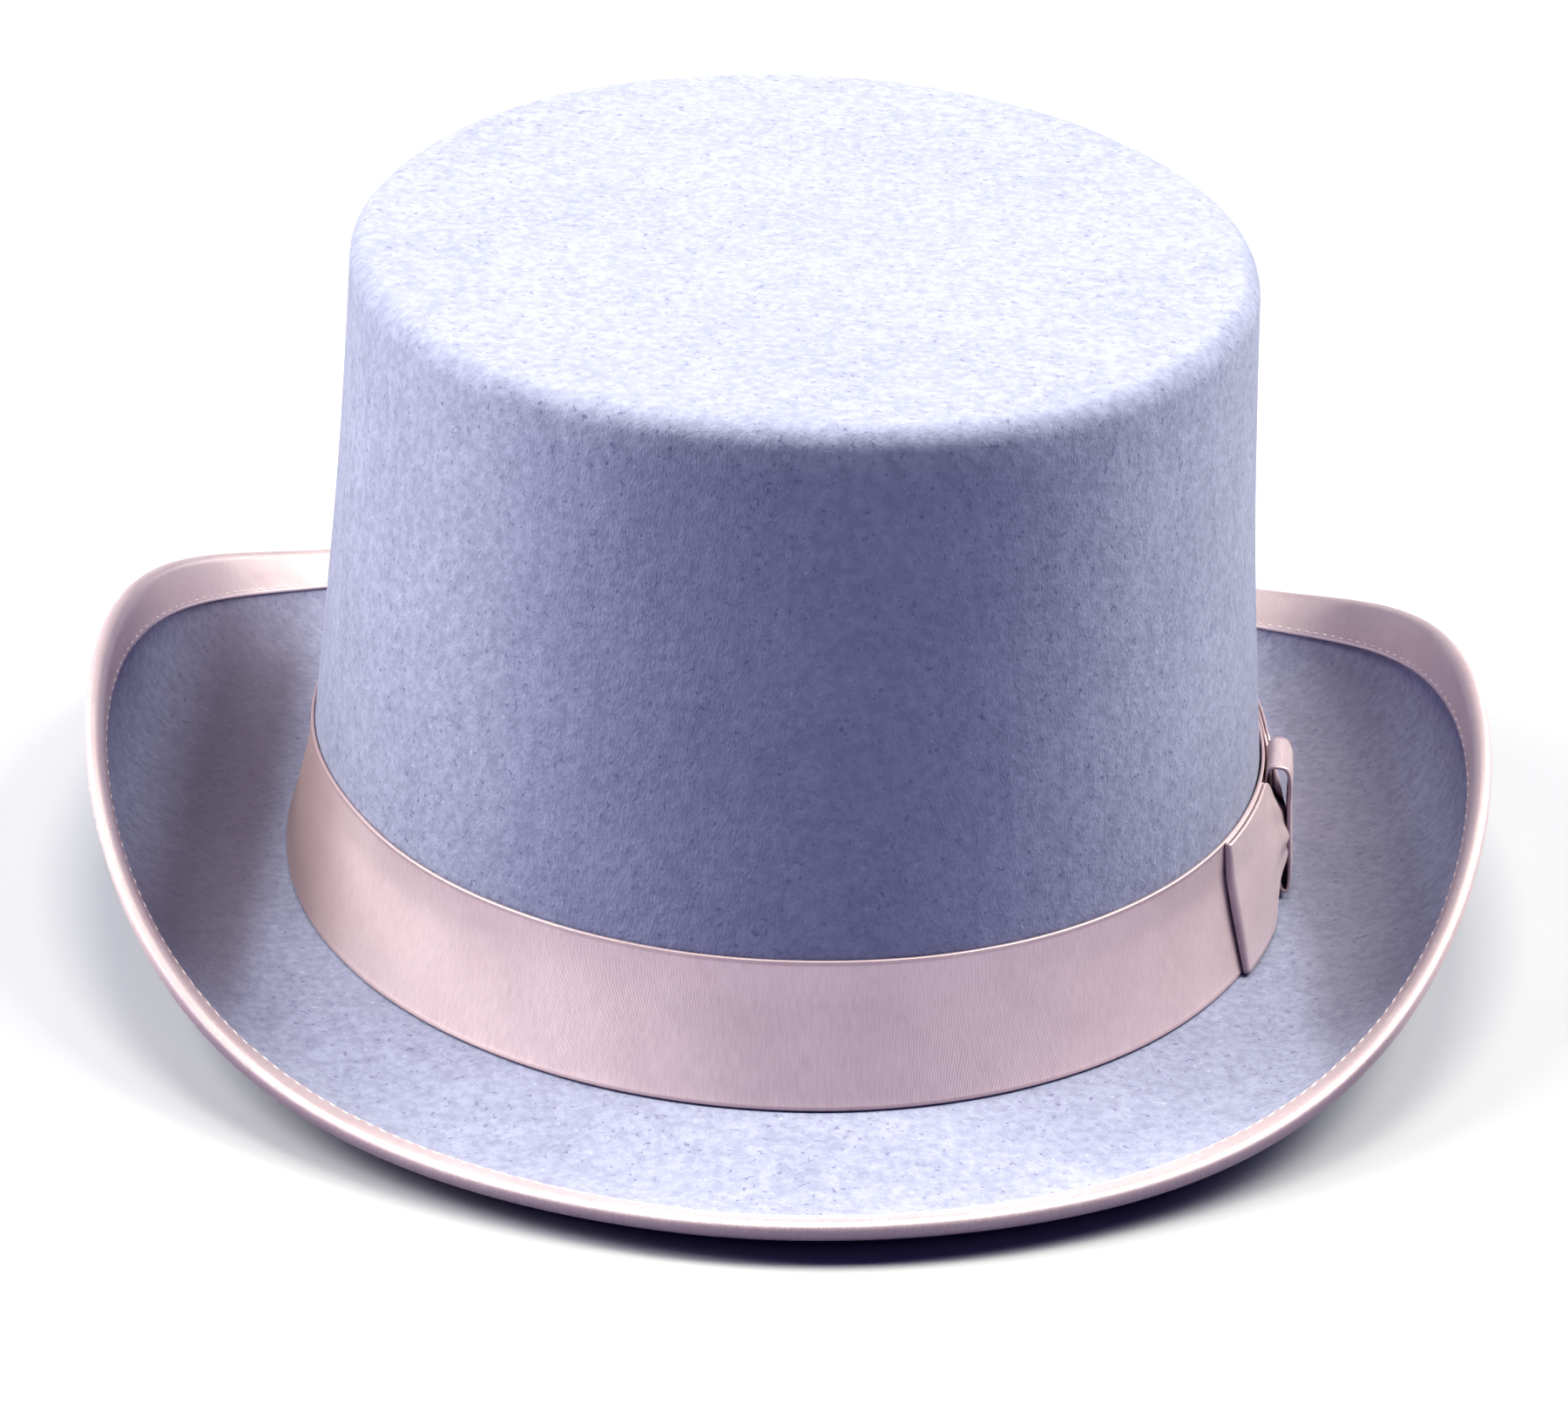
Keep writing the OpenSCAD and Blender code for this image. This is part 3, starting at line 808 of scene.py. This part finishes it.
def reed_tape():
    work = Finish("reed_tape", Roughness=0.7, Sheen_Weight=0.2, Specular_IOR_Level=0.3)
    along, across = work.along_across()
    weave = (along + across).wave(0.7 * mm) * (along - across).wave(0.7 * mm)
    wear = work.grain(300, 3, 0.6)
    tone = work.blend((0.30, 0.21, 0.15, 1), (0.52, 0.40, 0.30, 1), weave * 0.6 + wear * 0.4)
    return work.link(Base_Color=tone, Normal=work.relief(weave, 0.08 * mm))


def reed_row(angle):
    middle = leather_off + gap + reed_thick / 2
    return lambda t: on_crown(t, 0, middle + reed_thick / 2 * math.cos(angle)) + Vector(
        (0, 0, reed_high + reed_thick / 2 * math.sin(angle)))


reed = loft("sweatband_reed", [reed_row(2 * math.pi * k / 14) for k in range(14)], 300, tube=True)
fit(reed, reed_tape(), "reed", "sweatband_reed")

sweat_stitches = 170


def slanted_stitches():
    """Pairs of stitches that slant from the leather's lower edge over the reed's tape."""
    places = []
    for k in range(sweat_stitches):
        turn = 2 * math.pi * k / sweat_stitches
        lean = 0.0045 if k % 2 else -0.0045
        low = on_crown(turn - lean, -1.1 * mm, leather_off - leather_thick - 0.05 * mm)
        high = on_crown(turn + lean, 0.9 * mm, leather_off - leather_thick - 0.05 * mm)
        inward = Vector((-math.sin(turn), math.cos(turn), 0))
        places.append(((low + high) / 2, high - low, inward))
    return places


leather_thread = spun_thread("leather_thread", (0.62, 0.50, 0.36, 1))
fit(sew("sweatband_stitches", slanted_stitches(), 2.4 * mm, 0.4 * mm), leather_thread, "reed")


def corded_ribbon():
    work = Finish("corded_ribbon", Roughness=0.6, Sheen_Weight=0.3, Specular_IOR_Level=0.3)
    along, across = work.along_across()
    ribs = along.wave(0.8 * mm)
    tone = work.blend((0.045, 0.045, 0.075, 1), (0.11, 0.11, 0.16, 1), ribs * 0.6 + work.grain(700) * 0.4)
    return work.link(Base_Color=tone, Normal=work.relief(ribs, 0.12 * mm))


def on_leather(out, high, off):
    return on_crown(math.pi + out * turn_per_metre, high, leather_off - leather_thick - gap - off)


small_bow_middle = 7 * mm


def small_bow_shape(part, wide):
    """The ribbon goes out and back on each side in turn, like a figure of eight laid flat."""
    angle = 2 * math.pi * part
    out = 11.5 * mm * math.sin(angle)
    near = abs(out) / (11.5 * mm)
    off = 0.55 * mm + 0.5 * mm * math.sin(2 * angle) * (1 if math.sin(angle) > 0 else -1) * (0.4 + 0.6 * near)
    half = (1.7 + 2.1 * near ** 0.8) * mm
    return on_leather(out, small_bow_middle + (2 * wide - 1) * half, off)


small_bow = ribbon_strip("sweatband_bow", 64, 8, small_bow_shape, 50 * mm, 7.6 * mm)
fit(small_bow, corded_ribbon(), "inner_ribbon", "sweatband_bow")


def small_knot_shape(part, wide):
    angle = 2 * math.pi * part
    return on_leather((2 * wide - 1) * 2.2 * mm, small_bow_middle - 2.5 * mm * math.sin(angle),
                      0.62 * mm - 0.62 * mm * math.cos(angle))


small_knot = ribbon_strip("sweatband_bow_knot", 32, 6, small_knot_shape, 14 * mm, 4.4 * mm)
fit(small_knot, corded_ribbon(), "inner_ribbon")


# ---- Lining ----
# A satin strip tucked behind the sweatband and eased up to a satin oval under the tip, with a
# corded piping in the seam between them. It is caught to the felt only at the reed.

lining_low = 8 * mm
lining_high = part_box("lining_side")[1].z - foot_z
satin_pale = (0.66, 0.66, 0.78, 1)
satin_shade = (0.50, 0.50, 0.64, 1)


def lining_satin(name):
    work = Finish(name, Roughness=0.3, Sheen_Weight=0.25, Sheen_Roughness=0.35, Specular_IOR_Level=0.55)
    fine = work.grain(1800, 2, 0.5, at=work.place(1, 1, 0.1))
    slow = work.grain(30, 3, 0.5)
    tone = work.blend(satin_shade, satin_pale, fine * 0.4 + slow * 0.6)
    return work.link(Base_Color=tone, Roughness=slow * 0.15 + 0.26, Normal=work.relief(fine, 0.04 * mm))


def eased(turn, high):
    """Shallow tucks that deepen towards the tip, where the strip is eased into a smaller oval."""
    up = ease((high - 45 * mm) / (lining_high - 45 * mm))
    tucks = 0.5 + 0.5 * math.sin(64 * turn + 1.5 * math.sin(5 * turn))
    slack = 0.5 + 0.5 * noise.noise(Vector((4 * math.sin(turn), 4 * math.cos(turn), high / (30 * mm))))
    return -1.3 * mm * up * tucks ** 1.5 - 0.7 * mm * slack * ease((high - 34 * mm) / (12 * mm))


def lining_rows(off, heights):
    return [lambda t, h=h: on_crown(t, h, off + eased(t, h)) for h in heights]


lining_heights = steps(lining_low, lining_high - 0.5 * mm, 30)
lining_faces = lining_rows(lining_off - lining_thick, lining_heights)
lining_faces += lining_rows(lining_off, lining_heights[::-3])
lining_side = loft("lining_side", lining_faces, 640, tube=True)
fit(lining_side, lining_satin("lining_side_satin"), "lining", "lining_side")


def lining_oval(turn, part, off):
    rim = on_crown(turn, lining_high, lining_off - 1.9 * mm)
    pull = 0.25 * mm * math.sin(64 * turn) * part ** 6
    soft = 0.6 * mm * noise.noise(Vector((2.5 * part * math.sin(turn), 2.5 * part * math.cos(turn), 9)))
    sag = 1.6 * mm * (1 - part ** 2)
    return Vector((rim.x * part, rim.y * part, rim.z + 1.1 * mm - sag - pull - soft * (1 - part) + off))


oval_parts = steps(0, 1, 26)
oval_faces = [lambda t, p=p: lining_oval(t, p, 0) for p in oval_parts]
oval_faces += [lambda t, p=p: lining_oval(t, p, 0.35 * mm) for p in oval_parts[::-1]]
lining_tip = loft("lining_tip", oval_faces, 320)
fit(lining_tip, lining_satin("lining_tip_satin"), "lining", "lining_tip")
oval_size = crown_size(lining_high) + Vector((1, 1)) * (lining_off - 1.9 * mm)


def piping_satin():
    work = Finish("piping_satin", Roughness=0.35, Sheen_Weight=0.25, Specular_IOR_Level=0.5)
    along, across = work.along_across()
    twist = (along + across * 1.2).wave(1.3 * mm)
    return work.link(Base_Color=work.blend((0.36, 0.27, 0.36, 1), (0.58, 0.46, 0.57, 1), twist),
                     Normal=work.relief(twist, 0.12 * mm))


def piping_row(angle):
    middle = lining_off - 1.1 * mm
    return lambda t: on_crown(t, lining_high, middle + 0.8 * mm * math.cos(angle)) + Vector(
        (0, 0, 1.1 * mm + 0.8 * mm * math.sin(angle)))


piping = loft("lining_piping", [piping_row(2 * math.pi * k / 12) for k in range(12)], 300, tube=True)
fit(piping, piping_satin(), "piping", "lining_piping")


# ---- Table, light and camera ----
# A plain pale table, two soft lamps on each side, one overhead and hardly any light from the front.


def pale_table():
    work = Finish("pale_table", Roughness=0.8, Specular_IOR_Level=0.1)
    tone = work.blend((0.42, 0.42, 0.48, 1), (0.45, 0.45, 0.51, 1), work.grain(6))
    return work.link(Base_Color=tone)


table = bmesh.new()
bmesh.ops.create_grid(table, x_segments=1, y_segments=1, size=4)
floor = finish_piece("table_top", table)
floor.data.materials.append(pale_table())


def soft_lamp(name, place, towards, wide, tall, power, tint=(1, 1, 1)):
    lamp = bpy.data.lights.new(name, "AREA")
    lamp.shape = "RECTANGLE"
    lamp.size, lamp.size_y = wide, tall
    lamp.energy = power
    lamp.color = tint
    stand = bpy.data.objects.new(name, lamp)
    stand.location = place
    stand.rotation_euler = (Vector(towards) - Vector(place)).to_track_quat("-Z", "Y").to_euler()
    bpy.context.scene.collection.objects.link(stand)


def around(turn, rise, away=1.5):
    """A place round the hat, by its angle from the front and its angle above the table, in degrees."""
    turn, rise = math.radians(turn), math.radians(rise)
    return away * Vector((math.sin(turn) * math.cos(rise), -math.cos(turn) * math.cos(rise), math.sin(rise)))


crown_middle = Vector((0, 0, 0.06))
soft_lamp("left_high", around(-86, 45), crown_middle, 0.8, 0.8, 19, (1, 1, 0.82))
soft_lamp("left_low", around(-90, 25), crown_middle, 0.7, 0.7, 11.5, (1, 1, 0.88))
soft_lamp("right_high", around(95, 54), crown_middle, 0.7, 0.7, 19, (1, 1, 0.80))
soft_lamp("right_low", around(119, 30), crown_middle, 0.7, 0.7, 9.5, (1, 1, 0.87))
soft_lamp("overhead", around(0, 88), crown_middle, 0.6, 0.6, 11, (1, 0.99, 0.76))

world = bpy.data.worlds.new("studio")
world.use_nodes = True
world.node_tree.nodes["Background"].inputs[0].default_value = (0.04, 0.06, 1.0, 1)
world.node_tree.nodes["Background"].inputs[1].default_value = 0.15
bpy.context.scene.world = world
bpy.context.scene.view_settings.view_transform = "Standard"
bpy.context.scene.view_settings.look = "High Contrast"

camera_data = bpy.data.cameras.new("camera")
camera_data.lens = 136.8
camera_data.sensor_width = 36
camera_data.clip_start = 0.01
camera = bpy.data.objects.new("camera", camera_data)
bpy.context.scene.collection.objects.link(camera)
camera_turn, camera_rise, camera_roll = [math.radians(angle) for angle in (-0.62, 24.07, 2.61)]
camera_away = 1.0546
look = Matrix.Rotation(camera_turn, 4, "Z") @ Matrix.Rotation(math.pi / 2 - camera_rise, 4, "X")
look = look @ Matrix.Rotation(camera_roll, 4, "Z")
aim = Vector((-0.94, 0, 31.06)) * mm
camera.matrix_world = Matrix.Translation(aim + look.col[2].xyz * camera_away) @ look
bpy.context.scene.camera = camera
